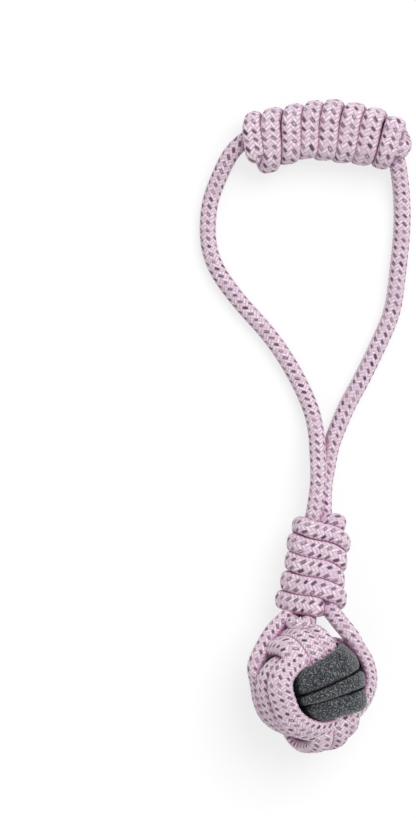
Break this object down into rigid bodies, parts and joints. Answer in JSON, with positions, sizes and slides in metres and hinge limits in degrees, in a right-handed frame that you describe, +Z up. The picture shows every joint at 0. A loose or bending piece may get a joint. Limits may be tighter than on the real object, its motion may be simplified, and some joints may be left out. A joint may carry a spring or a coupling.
{
  "type": "ball on rope dog toy",
  "caption": "Knotted rope ball on a bound neck, with a long hand loop that ends in a coiled rope grip, lying flat.",
  "frame": {"origin": "middle of the toy's outline from above, on the surface that it lies on", "axes": "+Z up from that surface, +Y along the toy from the ball to the grip, +X to the right seen from above with the grip at the top"},
  "size_m": [0.13, 0.3989, 0.0805],
  "materials": {
    "pink_rope": "braided cord, pink with mauve flecks",
    "grey_fleece": "dark grey fleece, brushed",
    "core_rubber": "matt"
  },
  "bodies": {
    "ball": {"ball_core": "core_rubber", "grey_band": "grey_fleece", "top_band": "pink_rope", "side_band": "pink_rope"},
    "neck": {"neck_wraps": "pink_rope", "neck_core_left": "pink_rope", "neck_core_right": "pink_rope", "lead_left": "pink_rope", "lead_right": "pink_rope", "ball_link": "pink_rope"},
    "throat": {"throat_left": "pink_rope", "throat_right": "pink_rope"},
    "loop": {"loop_left": "pink_rope", "loop_right": "pink_rope", "grip_bend_left": "pink_rope", "grip_bend_right": "pink_rope"},
    "grip": {"grip_wraps": "pink_rope", "grip_core_left": "pink_rope", "grip_core_right": "pink_rope"}
  },
  "joints": [
    {"name": "ball_swing", "type": "hinge", "parent": "ball", "child": "neck", "pos_m": [0.0018, -0.11557, 0.03243], "axis": [1, 0, 0], "range_deg": [-30, 30], "deforming": ["lead_left", "lead_right", "ball_link"]},
    {"name": "throat_sway", "type": "hinge", "parent": "neck", "child": "throat", "pos_m": [0.0079, -0.04377, 0.01733], "axis": [0, 0, 1], "range_deg": [-40, 40], "deforming": ["throat_left", "throat_right"]},
    {"name": "throat_bend", "type": "hinge", "parent": "throat", "child": "loop", "pos_m": [0.0079, -0.01317, 0.0102], "axis": [1, 0, 0], "range_deg": [-75, 75]},
    {"name": "grip_swing", "type": "hinge", "parent": "loop", "child": "grip", "pos_m": [0.011, 0.13973, 0.01355], "axis": [1, 0, 0], "range_deg": [-50, 50], "deforming": ["grip_bend_left", "grip_bend_right"]}
  ]
}
